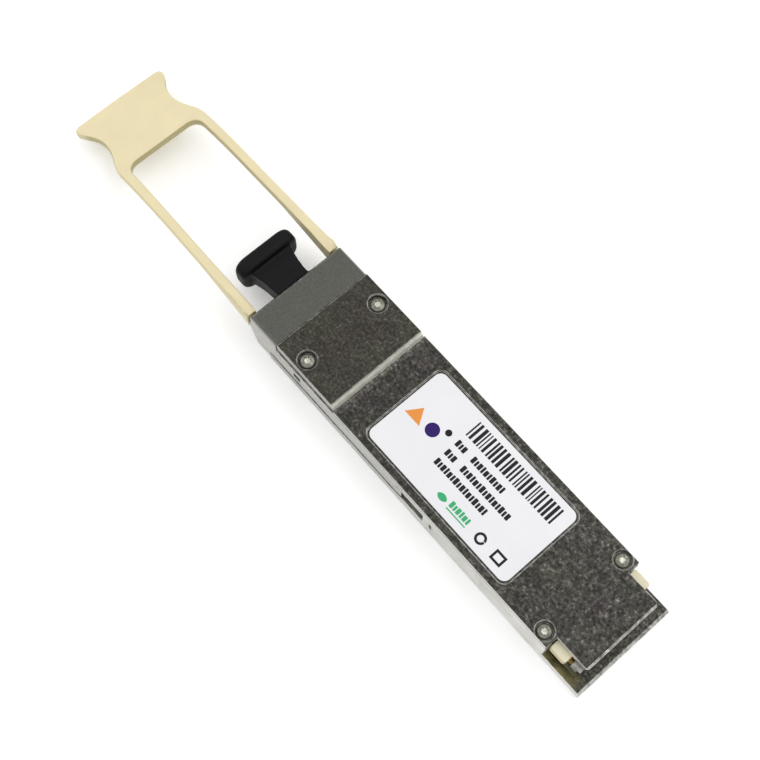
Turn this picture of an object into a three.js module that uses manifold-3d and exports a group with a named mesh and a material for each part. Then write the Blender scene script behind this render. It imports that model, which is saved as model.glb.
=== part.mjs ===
// A pluggable optical transceiver module: die-cast shell and cover, pull tab on a sprung latch slider,
// fibre port with its dust plug, and the optics and electronics inside.
// Millimetres. While it is built, X = 0 is just behind the front edge of the cover, +X runs to the host
// connector, Y = 0 is the centre plane and Z = 0 the underside. At the end the group is moved so that the
// origin is the middle of the object's footprint.
import * as THREE from "three";
import { mergeVertices } from "three/addons/utils/BufferGeometryUtils.js";
import Module from "manifold-3d";

const wasm = await Module();
wasm.setup();

// ---- driving dimensions ----
const HALF_WIDTH = 9.175;
const MAIN_TOP = 8.5;
const RAISED_TOP = 9.6;
const WALL_TOP = 7.36;
const FLOOR = 1.0;
const WALL_REAR = 59.2;
const SHELL_REAR = 67.0;
const APRON_TOP = 2.2;

const NOSE = {
  front: -6.65,
  back: -0.46,
  half: 9.1,
  bottom: 1.8,
  undercut: -3.9,
  top: 9.2,
  chamfer: 0.3,
  rounding: 0.9,
};
const CHEEK_FRONT = -2.4;
const CHANNEL = { floor: 8.62, low: 2.2, high: 6.3, end: 33.2 };
const SPRING_BAY = { front: -2.6, back: 5.6, inner: 6.75, low: 3.3, high: 5.4 };

const PORT = { half: 5.4, low: 2.5, high: 7.9, back: 6.4 };
const PORT_AXIS = 5.2;

const BOARD = { front: 15.5, back: 64.3, half: 7.8, low: 3.7, high: 4.7 };
const LEDGE = 3.6;
const CAVITY_HALF = 8.0;

const COVER = {
  front: -0.42,
  under: 7.4,
  frontHalf: 8.95,
  ridge: 12.4,
  ridgeFoot: 12.95,
  rear: 65.2,
  tongueHalf: 7.05,
  tongueCorner: 0.45,
  chamfer: 0.25,
};
const LABEL = { x0: 18.75, x1: 48.65, y0: -7.6, y1: 7.4, radius: 1.2, thickness: 0.14 };
const POCKET_DEPTH = 0.3;
const POCKET_RIM = 0.36;

const FRONT_SCREW = { x: 4.6, y: 7.0, seat: 8.9, bore: 1.42, head: 1.28, tip: 6.1 };
const REAR_SCREW = { x: 57.25, y: 7.7, seat: 7.85, bore: 1.35, head: 1.21, tip: 5.1 };
const SHANK_RADIUS = 0.6;
const SCREW_HOLE = 0.72;
const BORE_CHAMFER = 0.18;

const SHEET = 0.35;
const SLIDER_OUT = 9.07;
const SLIDER_FOOT = 0.15;
const TAB = { end: -53.8, body: -7.4, window: -40.7, windowRadius: 1.8 };
const SPRING = { x0: -2.5, x1: 4.75, y: 7.7, z: 4.35, radius: 0.62, wire: 0.13, turns: 6 };

const CONTACTS = { count: 19, pitch: 0.8, width: 0.52, x0: 60.6, x1: 63.9, bus: 0.4 };

// ---- materials ----
function finish(color, roughness, metalness) {
  return new THREE.MeshStandardMaterial({ color, roughness, metalness });
}

const COLOURS = {
  shell: finish(0xa8a7a0, 0.42, 0.85),
  cover: finish(0x4a4943, 0.5, 0.8),
  screw: finish(0x9c9a8e, 0.3, 0.95),
  steel: finish(0xb4b4b0, 0.3, 0.95),
  label: finish(0xf0f0f4, 0.45, 0),
  ivory: finish(0xe9dcb4, 0.5, 0),
  elastomer: finish(0x1d1d20, 0.65, 0),
  block: finish(0xd9cfa6, 0.45, 0),
  plastic: finish(0x22242a, 0.5, 0),
  board: finish(0x1f4a2c, 0.5, 0),
  gold: finish(0xd4a843, 0.28, 1),
  chip: finish(0x191a1c, 0.45, 0),
  ceramic: finish(0xb7a98c, 0.5, 0),
  amber: finish(0xb8742a, 0.25, 0),
  ribbon: finish(0x3fa9c4, 0.4, 0),
  pad: finish(0x8fa3b5, 0.8, 0),
  gasket: finish(0x3b3b3c, 0.8, 0.2),
};

// ---- solids ----
function solid(geometry) {
  const plain = geometry.index ? geometry.toNonIndexed() : geometry.clone();
  plain.deleteAttribute("normal");
  plain.deleteAttribute("uv");
  const merged = mergeVertices(plain, 1e-4);
  return new wasm.Manifold(
    new wasm.Mesh({
      numProp: 3,
      vertProperties: merged.attributes.position.array,
      triVerts: new Uint32Array(merged.index.array),
    }),
  );
}

function mesh(name, body, material) {
  const made = body.getMesh();
  const geometry = new THREE.BufferGeometry();
  geometry.setAttribute("position", new THREE.BufferAttribute(new Float32Array(made.vertProperties), 3));
  geometry.setIndex(new THREE.BufferAttribute(new Uint32Array(made.triVerts), 1));
  geometry.computeVertexNormals();
  const result = new THREE.Mesh(geometry, material);
  result.name = name;
  return result;
}

function box(x0, x1, y0, y1, z0, z1) {
  const geometry = new THREE.BoxGeometry(x1 - x0, y1 - y0, z1 - z0);
  geometry.translate((x0 + x1) / 2, (y0 + y1) / 2, (z0 + z1) / 2);
  return solid(geometry);
}

// A box between two distances from the centre plane, on the side that side (+1 or -1) names.
function sideBox(side, x0, x1, inner, outer, z0, z1) {
  const ys = [side * inner, side * outer].sort((a, b) => a - b);
  return box(x0, x1, ys[0], ys[1], z0, z1);
}

// An upright cone from radius r0 at z0 to radius r1 at z1.
function cone(x, y, r0, r1, z0, z1, segments = 24) {
  const geometry = new THREE.CylinderGeometry(r1, r0, z1 - z0, segments);
  geometry.rotateX(Math.PI / 2);
  geometry.translate(x, y, (z0 + z1) / 2);
  return solid(geometry);
}

function cylinder(x, y, radius, z0, z1, segments = 24) {
  return cone(x, y, radius, radius, z0, z1, segments);
}

function rod(x0, x1, y, z, radius, segments = 12) {
  const geometry = new THREE.CylinderGeometry(radius, radius, x1 - x0, segments);
  geometry.rotateZ(Math.PI / 2);
  geometry.translate((x0 + x1) / 2, y, z);
  return solid(geometry);
}

function extruded(shape, depth, curveSegments = 6) {
  return new THREE.ExtrudeGeometry(shape, { depth, bevelEnabled: false, curveSegments });
}

// An outline in X and Y, raised from z0 to z1.
function plan(shape, z0, z1) {
  const geometry = extruded(shape, z1 - z0);
  geometry.translate(0, 0, z0);
  return solid(geometry);
}

// An outline in X and Z, run from y0 to y1.
function profile(points, y0, y1) {
  const drawn = Array.isArray(points);
  const shape = drawn ? new THREE.Shape(points.map(([x, z]) => new THREE.Vector2(x, z))) : points;
  const geometry = extruded(shape, y1 - y0);
  geometry.rotateX(Math.PI / 2);
  geometry.translate(0, y1, 0);
  return solid(geometry);
}

// An outline in Y and Z, run from x0 to x1.
function section(shape, x0, x1) {
  const geometry = extruded(shape, x1 - x0);
  geometry.applyMatrix4(
    new THREE.Matrix4().makeBasis(
      new THREE.Vector3(0, 1, 0),
      new THREE.Vector3(0, 0, 1),
      new THREE.Vector3(1, 0, 0),
    ),
  );
  geometry.translate(x0, 0, 0);
  return solid(geometry);
}

function roundedRect(u0, u1, v0, v1, radius) {
  const shape = new THREE.Shape();
  shape.moveTo(u0 + radius, v0);
  shape.lineTo(u1 - radius, v0);
  shape.absarc(u1 - radius, v0 + radius, radius, -Math.PI / 2, 0);
  shape.lineTo(u1, v1 - radius);
  shape.absarc(u1 - radius, v1 - radius, radius, 0, Math.PI / 2);
  shape.lineTo(u0 + radius, v1);
  shape.absarc(u0 + radius, v1 - radius, radius, Math.PI / 2, Math.PI);
  shape.lineTo(u0, v0 + radius);
  shape.absarc(u0 + radius, v0 + radius, radius, Math.PI, 1.5 * Math.PI);
  return shape;
}

function join(first, ...rest) {
  return rest.reduce((sum, body) => sum.add(body), first);
}

function cut(first, ...rest) {
  return rest.reduce((left, body) => left.subtract(body), first);
}

const SIDES = [
  ["left", -1],
  ["right", 1],
];

const SCREWS = SIDES.flatMap(([word, side]) => [
  { ...FRONT_SCREW, name: "screw_front_" + word, y: side * FRONT_SCREW.y },
  { ...REAR_SCREW, name: "screw_rear_" + word, y: side * REAR_SCREW.y },
]);

// ---- housing ----
// The nose block round the fibre port: undercut at the front, where the slider's cross bar passes, and
// rounded along its two upper edges.
function noseBlock() {
  const { front, back, half, bottom, undercut, top, chamfer, rounding } = NOSE;
  const intoWalls = 0.6;
  const outline = profile(
    [
      [front, bottom],
      [undercut, bottom],
      [CHEEK_FRONT, 0],
      [intoWalls, 0],
      [intoWalls, WALL_TOP],
      [back, WALL_TOP],
      [back, top],
      [front + chamfer, top],
      [front, top - chamfer],
    ],
    -half,
    half,
  );
  const across = section(roundedRect(-half, half, -2, top, rounding), front - 1, 2);
  return outline.intersect(across);
}

// The channel in the shell's flank where the slider's strip runs, narrower at its end.
function sideChannel(side) {
  const { low, high, end, floor } = CHANNEL;
  const outline = [
    [NOSE.front - 1, low],
    [27.3, low],
    [29.0, low + 0.6],
    [end, low + 0.6],
    [end, high - 0.4],
    [29.0, high - 0.4],
    [27.3, high],
    [NOSE.front - 1, high],
  ];
  const ys = [side * floor, side * (HALF_WIDTH + 1)].sort((a, b) => a - b);
  return profile(outline, ys[0], ys[1]);
}

// The floor plate behind the walls, under the card edge, with its rear edge chamfered.
function rearApron() {
  const chamfer = 0.4;
  return profile(
    [
      [WALL_REAR - 1, 0],
      [SHELL_REAR, 0],
      [SHELL_REAR, APRON_TOP - chamfer],
      [SHELL_REAR - chamfer, APRON_TOP],
      [WALL_REAR - 1, APRON_TOP],
    ],
    -HALF_WIDTH,
    HALF_WIDTH,
  );
}

function lowerShell() {
  const outside = join(
    noseBlock(),
    box(CHEEK_FRONT, 2, -HALF_WIDTH, HALF_WIDTH, 0, CHANNEL.low),
    box(NOSE.back, WALL_REAR, -HALF_WIDTH, HALF_WIDTH, 0, WALL_TOP),
    rearApron(),
  );
  const hollows = [
    box(NOSE.front - 1, PORT.back, -PORT.half, PORT.half, PORT.low, PORT.high),
    box(PORT.back - 1, 9, -3.75, 3.75, 3.6, WALL_TOP + 1),
    box(8, WALL_REAR + 1, -CAVITY_HALF, CAVITY_HALF, LEDGE, WALL_TOP + 1),
    box(13, WALL_REAR - 1.2, -7, 7, FLOOR, LEDGE + 1),
    box(WALL_REAR - 2, WALL_REAR + 1, -7, 7, APRON_TOP, LEDGE + 1),
  ];
  let shell = cut(outside, ...hollows);
  for (const [, side] of SIDES) {
    const boss = cylinder(REAR_SCREW.x, side * REAR_SCREW.y, 1.5, FLOOR, WALL_TOP);
    shell = shell.add(boss.intersect(sideBox(side, 50, 60, 5, HALF_WIDTH, 0, WALL_TOP)));
    shell = cut(
      shell,
      sideChannel(side),
      sideBox(side, NOSE.front - 1, CHEEK_FRONT - 0.1, CHANNEL.floor, 11, -1, CHANNEL.low + 0.1),
      sideBox(side, SPRING_BAY.front, SPRING_BAY.back, SPRING_BAY.inner, 9, SPRING_BAY.low, SPRING_BAY.high),
      sideBox(side, 34.7, 35.1, 8.9, 10, 3.1, 5.1),
      sideBox(side, 14, 54, 8.32, 8.78, WALL_TOP - 0.2, WALL_TOP + 1),
    );
  }
  for (const screw of SCREWS) {
    shell = shell.subtract(cylinder(screw.x, screw.y, SCREW_HOLE, screw.tip - 0.3, WALL_TOP + 1, 16));
  }
  return mesh("lower_shell", shell, COLOURS.shell);
}

function topCover() {
  const { front, under, frontHalf, ridge, ridgeFoot, rear, tongueHalf, tongueCorner, chamfer } = COVER;
  const raised = profile(
    [
      [front, under],
      [ridgeFoot + 0.3, under],
      [ridgeFoot + 0.3, MAIN_TOP],
      [ridgeFoot, MAIN_TOP],
      [ridge, RAISED_TOP],
      [front + chamfer, RAISED_TOP],
      [front, RAISED_TOP - chamfer],
    ],
    -frontHalf,
    frontHalf,
  );
  const tongueSide = profile(
    [
      [WALL_REAR - 1, under],
      [rear, under],
      [rear, MAIN_TOP - chamfer],
      [rear - chamfer, MAIN_TOP],
      [WALL_REAR - 1, MAIN_TOP],
    ],
    -tongueHalf,
    tongueHalf,
  );
  const tonguePlan = new THREE.Shape([
    new THREE.Vector2(WALL_REAR - 1, -tongueHalf),
    new THREE.Vector2(rear - tongueCorner, -tongueHalf),
    new THREE.Vector2(rear, tongueCorner - tongueHalf),
    new THREE.Vector2(rear, tongueHalf - tongueCorner),
    new THREE.Vector2(rear - tongueCorner, tongueHalf),
    new THREE.Vector2(WALL_REAR - 1, tongueHalf),
  ]);
  let cover = join(
    raised,
    box(ridgeFoot, WALL_REAR - 0.1, -HALF_WIDTH, HALF_WIDTH, under, MAIN_TOP),
    tongueSide.intersect(plan(tonguePlan, under - 1, MAIN_TOP + 1)),
    box(58.0, 58.9, -5.6, 5.6, BOARD.high + 0.3, under + 0.5),
  );
  const pocket = roundedRect(
    LABEL.x0 - POCKET_RIM,
    LABEL.x1 + POCKET_RIM,
    LABEL.y0 - POCKET_RIM,
    LABEL.y1 + POCKET_RIM,
    LABEL.radius + 0.2,
  );
  cover = cut(
    cover,
    plan(pocket, MAIN_TOP - POCKET_DEPTH, MAIN_TOP + 1),
    box(-1, 11.6, -PORT.half, PORT.half, under - 1, RAISED_TOP - 1.2),
  );
  for (const screw of SCREWS) {
    const rim = screw.x < ridge ? RAISED_TOP : MAIN_TOP;
    cover = cut(
      cover,
      cylinder(screw.x, screw.y, screw.bore, screw.seat, RAISED_TOP + 1),
      cone(screw.x, screw.y, screw.bore, screw.bore + BORE_CHAMFER, rim - BORE_CHAMFER, rim),
      cylinder(screw.x, screw.y, SCREW_HOLE, under - 1, RAISED_TOP, 16),
    );
  }
  return mesh("top_cover", cover, COLOURS.cover);
}

// A domed screw with a six-sided recess, its head on the counterbore's seat.
function coverScrew({ name, x, y, seat, head, tip }) {
  const base = seat + 0.06;
  const dome = [
    [0, base + 0.52],
    [head * 0.55, base + 0.44],
    [head * 0.85, base + 0.28],
    [head, base],
    [SHANK_RADIUS, base],
    [SHANK_RADIUS, tip],
    [0, tip],
  ];
  const points = dome.map(([r, z]) => new THREE.Vector2(r, z)).reverse();
  const geometry = new THREE.LatheGeometry(points, 20);
  geometry.rotateX(Math.PI / 2);
  geometry.translate(x, y, 0);
  const recess = cylinder(x, y, head * 0.36, base + 0.15, base + 1, 6);
  return mesh(name, solid(geometry).subtract(recess), COLOURS.screw);
}

function sealStrip(word, side) {
  const strip = sideBox(side, 14.1, 53.9, 8.4, 8.7, WALL_TOP - 0.16, COVER.under - 0.03);
  return mesh("seam_gasket_" + word, strip, COLOURS.gasket);
}

function label() {
  const { x0, x1, y0, y1, radius, thickness } = LABEL;
  const low = MAIN_TOP - POCKET_DEPTH + 0.04;
  return mesh("label", plan(roundedRect(x0, x1, y0, y1, radius), low, low + thickness), COLOURS.label);
}

// ---- latch slider, tab and springs ----
function latchSlider() {
  const inner = SLIDER_OUT - SHEET;
  const strip = [
    [-6.95, 4.4],
    [-5.9, SLIDER_FOOT],
    [CHEEK_FRONT - 0.2, SLIDER_FOOT],
    [CHEEK_FRONT - 0.2, 2.4],
    [27.0, 2.4],
    [28.4, 3.0],
    [28.4, 5.6],
    [27.0, 6.1],
    [-6.95, 6.1],
  ];
  let slider = box(-5.7, -4.3, -SLIDER_OUT, SLIDER_OUT, SLIDER_FOOT, SLIDER_FOOT + SHEET);
  for (const [, side] of SIDES) {
    const ys = [side * inner, side * SLIDER_OUT].sort((a, b) => a - b);
    const arm = profile(strip, ys[0], ys[1]);
    const windowCut = sideBox(side, 3.3, 4.9, 8, 10, 3.5, 5.2);
    slider = join(
      slider,
      arm.subtract(windowCut),
      sideBox(side, -7.3, -6.95, 8.1, SLIDER_OUT, 4.9, 6.1),
      sideBox(side, -13.5, -7.0, 8.1, 8.1 + SHEET, 4.9, 6.1),
      sideBox(side, 4.9, 5.25, 7.0, SLIDER_OUT, 3.5, 5.2),
      sideBox(side, 27.1, 28.4, inner, 9.17, 3.2, 5.4),
    );
  }
  return mesh("latch_slider", slider, COLOURS.steel);
}

// The tab's outline from above: two arms, a window, shoulders, a waist and flared tips.
function tabOutline() {
  const shape = new THREE.Shape();
  const half = [
    [TAB.body, 9.12],
    [-28, 8.8],
    [-40.6, 8.74],
  ];
  shape.moveTo(half[0][0], half[0][1]);
  shape.lineTo(half[1][0], half[1][1]);
  shape.lineTo(half[2][0], half[2][1]);
  shape.bezierCurveTo(-43.0, 8.6, -44.2, 7.0, -47.2, 6.9);
  shape.bezierCurveTo(-49.6, 6.85, -51.0, 8.4, -52.2, 8.85);
  shape.bezierCurveTo(-53.0, 9.12, -53.6, 8.8, -53.7, 8.0);
  shape.quadraticCurveTo(2 * TAB.end + 53.7, 0, -53.7, -8.0);
  shape.bezierCurveTo(-53.6, -8.8, -53.0, -9.12, -52.2, -8.85);
  shape.bezierCurveTo(-51.0, -8.4, -49.6, -6.85, -47.2, -6.9);
  shape.bezierCurveTo(-44.2, -7.0, -43.0, -8.6, -40.6, -8.74);
  shape.lineTo(half[1][0], -half[1][1]);
  shape.lineTo(half[0][0], -half[0][1]);
  shape.lineTo(TAB.body, -7.4);
  shape.lineTo(-20, -7.3);
  shape.lineTo(TAB.window + TAB.windowRadius, -7.1);
  shape.quadraticCurveTo(TAB.window, -7.1, TAB.window, -7.1 + TAB.windowRadius);
  shape.lineTo(TAB.window, 7.1 - TAB.windowRadius);
  shape.quadraticCurveTo(TAB.window, 7.1, TAB.window + TAB.windowRadius, 7.1);
  shape.lineTo(-20, 7.3);
  shape.lineTo(TAB.body, 7.4);
  return shape;
}

// The tab from the side: arms as deep as the nose's flank at the body, then a thin plate that dips.
function tabSide() {
  const shape = new THREE.Shape();
  shape.moveTo(TAB.body, 4.2);
  shape.lineTo(TAB.body, 7.9);
  shape.lineTo(TAB.body - 0.3, 8.15);
  shape.lineTo(-30, 8.15);
  shape.bezierCurveTo(-37, 8.1, -41, 6.9, -47.3, 5.3);
  shape.lineTo(-54, 3.9);
  shape.lineTo(-54, 2.2);
  shape.lineTo(-47.3, 3.5);
  shape.bezierCurveTo(-41, 5.1, -37, 6.3, -30, 6.35);
  shape.lineTo(-19, 6.35);
  shape.lineTo(-12, 5.1);
  return shape;
}

function pullTab() {
  const body = plan(tabOutline(), 0, 10).intersect(profile(tabSide(), -10, 10));
  const slots = SIDES.map(([, side]) => sideBox(side, -13.7, TAB.body + 1, 7.98, 8.57, 4.78, 6.22));
  return mesh("pull_tab", cut(body, ...slots), COLOURS.ivory);
}

function returnSpring(word, side) {
  const { x0, x1, y, z, radius, wire, turns } = SPRING;
  const points = [];
  const steps = turns * 9;
  for (let i = 0; i <= steps; i++) {
    const angle = (2 * Math.PI * turns * i) / steps;
    const x = x0 + wire + ((x1 - x0 - 2 * wire) * i) / steps;
    points.push(new THREE.Vector3(x, side * y + radius * Math.cos(angle), z + radius * Math.sin(angle)));
  }
  const wireSection = new THREE.Shape();
  wireSection.absarc(0, 0, wire, 0, 2 * Math.PI);
  const geometry = new THREE.ExtrudeGeometry(wireSection, {
    steps,
    curveSegments: 3,
    extrudePath: new THREE.CatmullRomCurve3(points),
  });
  return mesh("return_spring_" + word, solid(geometry), COLOURS.steel);
}

// ---- fibre port ----
function dustPlug() {
  const insert = section(roundedRect(-4.5, 4.5, 3.4, 7.0, 0.6), -6.9, 1.9);
  const flangeOutline = new THREE.Shape();
  flangeOutline.moveTo(-6.72, 5.2);
  flangeOutline.quadraticCurveTo(-7.2, 4.6, -7.3, 3.4);
  flangeOutline.lineTo(-7.3, -3.4);
  flangeOutline.quadraticCurveTo(-7.2, -4.6, -6.72, -5.2);
  const neckOutline = new THREE.Shape();
  neckOutline.moveTo(-6.9, 3.1);
  neckOutline.lineTo(-8.4, 3.1);
  neckOutline.quadraticCurveTo(-10.8, 3.25, -12.1, 3.7);
  neckOutline.lineTo(-13.9, 4.2);
  neckOutline.lineTo(-13.9, -4.2);
  neckOutline.lineTo(-12.1, -3.7);
  neckOutline.quadraticCurveTo(-10.8, -3.25, -8.4, -3.1);
  neckOutline.lineTo(-6.9, -3.1);
  const grip = section(roundedRect(-5.35, 5.35, 2.0, 8.4, 2.1), -15.45, -12.9);
  const plug = join(
    insert,
    plan(flangeOutline, 2.7, 7.7),
    plan(neckOutline, 3.2, 7.2),
    grip,
  );
  return mesh("dust_plug", plug, COLOURS.elastomer);
}

function portReceptacle() {
  const sleeve = cut(
    box(-5.9, 6.2, -5.3, 5.3, 2.6, 7.8),
    box(-7, 5.2, -4.8, 4.8, 3.1, 7.3),
    box(-7, 5.2, -1.4, 1.4, 3.1, 7.55),
    box(5, 7, -3.35, 3.35, 3.8, 6.6),
  );
  return mesh("port_receptacle", sleeve, COLOURS.plastic);
}

function fibreJoint() {
  const ferrule = join(
    box(5.0, 13.0, -3.2, 3.2, 3.95, 6.45),
    box(11.4, 13.0, -3.6, 3.6, 3.7, 6.7),
  );
  const holes = [-2.3, 2.3].map((y) => rod(4.5, 10.2, y, PORT_AXIS, 0.45));
  const clamp = cut(
    box(8.7, 10.7, -4.3, 4.3, 3.7, 7.0),
    box(8, 12, -3.4, 3.4, 3.0, 6.7),
  );
  const parts = [
    mesh("ferrule", cut(ferrule, ...holes), COLOURS.ceramic),
    mesh("ferrule_clamp", clamp, COLOURS.steel),
  ];
  for (const [word, side] of SIDES) {
    parts.push(mesh("guide_pin_" + word, rod(2.6, 10.0, side * 2.3, PORT_AXIS, 0.35), COLOURS.steel));
  }
  return parts;
}

function fibreRibbon() {
  const high = new THREE.Shape();
  high.moveTo(13.1, 5.35);
  high.bezierCurveTo(17, 5.35, 19, 6.15, 24.1, 6.15);
  high.lineTo(24.1, 5.85);
  high.bezierCurveTo(19, 5.85, 17, 5.05, 13.1, 5.05);
  return mesh("fibre_ribbon", profile(high, -1.55, 1.55), COLOURS.ribbon);
}

// ---- electronics ----
function circuitBoard() {
  const { front, back, half, low, high } = BOARD;
  const card = join(
    box(front, 60, -half, half, low, high),
    box(59.4, back, -8.1, 8.1, low, high),
  );
  const notches = SIDES.map(([, side]) => cylinder(REAR_SCREW.x, side * REAR_SCREW.y, 1.75, 0, 9));
  return mesh("circuit_board", cut(card, ...notches), COLOURS.board);
}

// One face's row of edge contacts, joined by a plating bar behind them.
function contactRow(name, z0, z1) {
  const { count, pitch, width, x0, x1, bus } = CONTACTS;
  const reach = ((count - 1) * pitch + width) / 2;
  let row = box(x0 - bus, x0, -reach, reach, z0, z1);
  for (let i = 0; i < count; i++) {
    const y = (i - (count - 1) / 2) * pitch;
    row = row.add(box(x0 - 0.01, x1, y - width / 2, y + width / 2, z0, z1));
  }
  return mesh(name, row, COLOURS.gold);
}

function boardParts() {
  const on = BOARD.high + 0.05;
  const under = BOARD.low - 0.05;
  const lens = cut(
    box(24.2, 28.4, -3, 3, on, 6.7),
    box(24.9, 27.9, -2.4, 2.4, on - 1, on + 0.6),
  );
  const blocks = [
    ["laser_array", 25.2, 25.6, -1.7, -0.2, on, on + 0.25, COLOURS.gold],
    ["photodiode_array", 25.2, 25.6, 0.2, 1.7, on, on + 0.25, COLOURS.gold],
    ["laser_driver", 29.4, 33.0, -4.4, -0.6, on, on + 0.9, COLOURS.chip],
    ["receiver_amplifier", 29.4, 33.0, 0.6, 4.4, on, on + 0.9, COLOURS.chip],
    ["controller", 38.0, 43.5, -2.75, 2.75, on, on + 0.9, COLOURS.chip],
    ["retimer_transmit", 36.5, 41.5, -5.6, -0.6, under - 0.9, under, COLOURS.chip],
    ["retimer_receive", 36.5, 41.5, 0.6, 5.6, under - 0.9, under, COLOURS.chip],
    ["power_inductor", 47.0, 49.6, -4.6, -2.0, on, on + 1.4, COLOURS.chip],
    ["oscillator", 47.0, 49.5, 2.0, 4.0, on, on + 0.8, COLOURS.steel],
    ["thermal_pad_optics", 24.4, 28.2, -2.8, 2.8, 6.75, 7.35, COLOURS.pad],
    ["thermal_pad_drivers", 29.3, 33.1, -4.5, 4.5, on + 0.95, 7.35, COLOURS.pad],
  ];
  const parts = blocks.map(([name, x0, x1, y0, y1, z0, z1, material]) =>
    mesh(name, box(x0, x1, y0, y1, z0, z1), material),
  );
  parts.push(mesh("lens_block", lens, COLOURS.amber));
  for (let i = 0; i < 6; i++) {
    const x = 51 + 2.1 * (i % 3);
    const y = i < 3 ? -1.6 : 1.6;
    const chip = box(x, x + 1.0, y - 0.3, y + 0.3, on, on + 0.5);
    parts.push(mesh("capacitor_" + (i + 1), chip, COLOURS.ceramic));
  }
  return parts;
}

// An ivory locator block on a rear corner of the card, beside the cover's tongue.
function locatorBlock(word, side) {
  const foot = BOARD.high + 0.08;
  const y0 = side > 0 ? 6.65 : -8.5;
  const block = join(
    plan(roundedRect(59.28, 62.35, y0, y0 + 1.85, 0.45), 5.2, 7.25),
    sideBox(side, 59.9, 62.0, 7.6, 8.45, foot, 5.3),
  );
  return mesh("locator_block_" + word, block, COLOURS.block);
}

// The bent clip behind the left block, from the card up beside the tongue.
function groundClip() {
  const clip = join(
    box(63.05, 64.75, -7.85, -6.55, 6.95, 7.2),
    box(63.05, 64.2, -7.85, -7.6, BOARD.high + 0.08, 7.05),
  );
  return mesh("ground_clip", clip, COLOURS.steel);
}

// ---- the whole module ----
const transceiver = new THREE.Group();
transceiver.add(
  lowerShell(),
  topCover(),
  ...SCREWS.map(coverScrew),
  label(),
  latchSlider(),
  pullTab(),
  dustPlug(),
  portReceptacle(),
  ...fibreJoint(),
  fibreRibbon(),
  circuitBoard(),
  contactRow("contact_row_top", BOARD.high + 0.03, BOARD.high + 0.09),
  contactRow("contact_row_bottom", BOARD.low - 0.09, BOARD.low - 0.03),
  ...boardParts(),
  ...SIDES.flatMap(([word, side]) => [
    returnSpring(word, side),
    sealStrip(word, side),
    locatorBlock(word, side),
  ]),
  groundClip(),
);
transceiver.position.x = -(TAB.end + SHELL_REAR) / 2;

export default transceiver;
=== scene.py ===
"""Looks of a pluggable optical transceiver module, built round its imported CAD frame.

Lengths in the shapes below are millimetres along the module: X = 0 is just behind the cover's front edge
and +X runs to the host connector, Y = 0 is the centre plane and Z = 0 the underside.
"""
import math

import bmesh
import bpy
from mathutils import Matrix, Vector


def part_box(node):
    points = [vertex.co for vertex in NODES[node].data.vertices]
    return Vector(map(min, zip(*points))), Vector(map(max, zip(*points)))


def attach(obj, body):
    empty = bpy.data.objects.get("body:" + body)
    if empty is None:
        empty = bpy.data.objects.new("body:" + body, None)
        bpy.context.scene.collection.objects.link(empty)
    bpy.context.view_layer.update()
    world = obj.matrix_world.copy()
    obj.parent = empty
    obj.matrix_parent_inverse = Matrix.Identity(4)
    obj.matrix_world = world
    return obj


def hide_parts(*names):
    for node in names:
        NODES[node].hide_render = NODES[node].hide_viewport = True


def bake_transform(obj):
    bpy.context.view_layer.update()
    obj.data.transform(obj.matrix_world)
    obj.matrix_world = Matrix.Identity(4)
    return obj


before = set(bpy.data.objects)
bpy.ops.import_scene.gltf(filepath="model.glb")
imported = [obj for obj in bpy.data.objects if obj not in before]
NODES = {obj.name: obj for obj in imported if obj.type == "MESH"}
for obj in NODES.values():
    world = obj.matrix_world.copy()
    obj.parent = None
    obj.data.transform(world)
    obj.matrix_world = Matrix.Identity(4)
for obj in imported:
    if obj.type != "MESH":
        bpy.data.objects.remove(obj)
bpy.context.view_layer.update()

MM = 0.001
COVER_FRONT = -0.42
X_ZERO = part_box("top_cover")[0].x - COVER_FRONT * MM
TO_ROW = Matrix.Translation((X_ZERO, 0, 0)) @ Matrix.Scale(MM, 4)
FROM_ROW = TO_ROW.inverted()
SIDES = (("left", -1), ("right", 1))

# Driving dimensions, as in the CAD.
MAIN_TOP = 8.5
LABEL = {"x0": 18.75, "x1": 48.65, "y0": -7.6, "y1": 7.4, "radius": 1.2, "low": 8.24, "high": 8.38}
FRONT_SCREW = {"x": 4.6, "y": 7.0, "seat": 8.9, "bore": 1.42, "head": 1.28, "tip": 6.1}
REAR_SCREW = {"x": 57.25, "y": 7.7, "seat": 7.85, "bore": 1.35, "head": 1.21, "tip": 5.1}
COVER_RIDGE = 12.4
WALL_REAR = 59.2
APRON_TOP = 2.2
TAB_BODY = -7.4
TAB_WINDOW = -40.7
TAB_CORNER = (-53.7, 8.0)
TAB_END = -53.8
SPRING = {"fixed": -2.5, "moving": 4.75, "y": 7.7, "z": 4.35, "radius": 0.62, "wire": 0.13, "turns": 6}

# The camera that gives the module's pose, in the same millimetres.
CAMERA = {"place": (62.93, -43.34, 191.15), "looks_at": (13.87, -0.63, MAIN_TOP),
          "lens": 61.23, "sensor": 36.0}


def row(x, y, z):
    """A point in the row frame, in metres, from millimetres along the module."""
    return TO_ROW @ Vector((x, y, z))


# ---------------------------------------------------------------- camera
def add_camera():
    data = bpy.data.cameras.new("camera")
    data.sensor_width = CAMERA["sensor"]
    data.lens = CAMERA["lens"]
    data.clip_start = 0.005
    data.clip_end = 50.0
    camera = bpy.data.objects.new("camera", data)
    bpy.context.scene.collection.objects.link(camera)
    camera.location = row(*CAMERA["place"])
    towards = row(*CAMERA["looks_at"]) - camera.location
    camera.rotation_euler = towards.to_track_quat("-Z", "Y").to_euler()
    bpy.context.scene.camera = camera


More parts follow.
